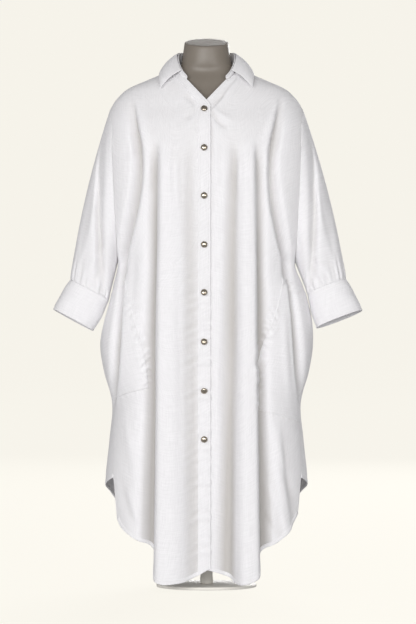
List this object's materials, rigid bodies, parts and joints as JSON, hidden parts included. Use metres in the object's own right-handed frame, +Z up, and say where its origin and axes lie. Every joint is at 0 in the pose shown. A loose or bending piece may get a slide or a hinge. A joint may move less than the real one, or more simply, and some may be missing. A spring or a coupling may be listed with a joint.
{
  "type": "long linen shirt on a dress form",
  "caption": "Long oversized linen shirt with wide cuffed sleeves, pointed collar, patch pockets and metal shank buttons, worn by a limbless dress form on a round foot.",
  "frame": {"origin": "centre of the foot's underside, on the floor", "axes": "+Z up, the shirt's front faces -Y, +X is on the right of someone who looks at the front (the wearer's left)"},
  "size_m": [0.7096, 0.3376, 1.2649],
  "materials": {
    "linen": "bleached white plain-woven linen, slightly slubbed",
    "button": "domed shank buttons in aged nickel, satin polish",
    "form_cover": "smooth warm grey satin shell",
    "form_metal": "cream powder coat"
  },
  "bodies": {
    "root": {"front_right": "linen", "front_left": "linen", "back": "linen", "button_band": "linen", "pocket_right": "linen", "pocket_left": "linen", "sleeve_right": "linen", "sleeve_left": "linen", "cuff_right": "linen", "cuff_left": "linen", "collar_stand": "linen", "collar": "linen", "button_1": "button", "button_2": "button", "button_3": "button", "button_4": "button", "button_5": "button", "button_6": "button", "button_7": "button", "button_8": "button", "form_torso": "form_cover", "form_pole": "form_metal", "form_foot": "form_metal"}
  },
  "joints": []
}
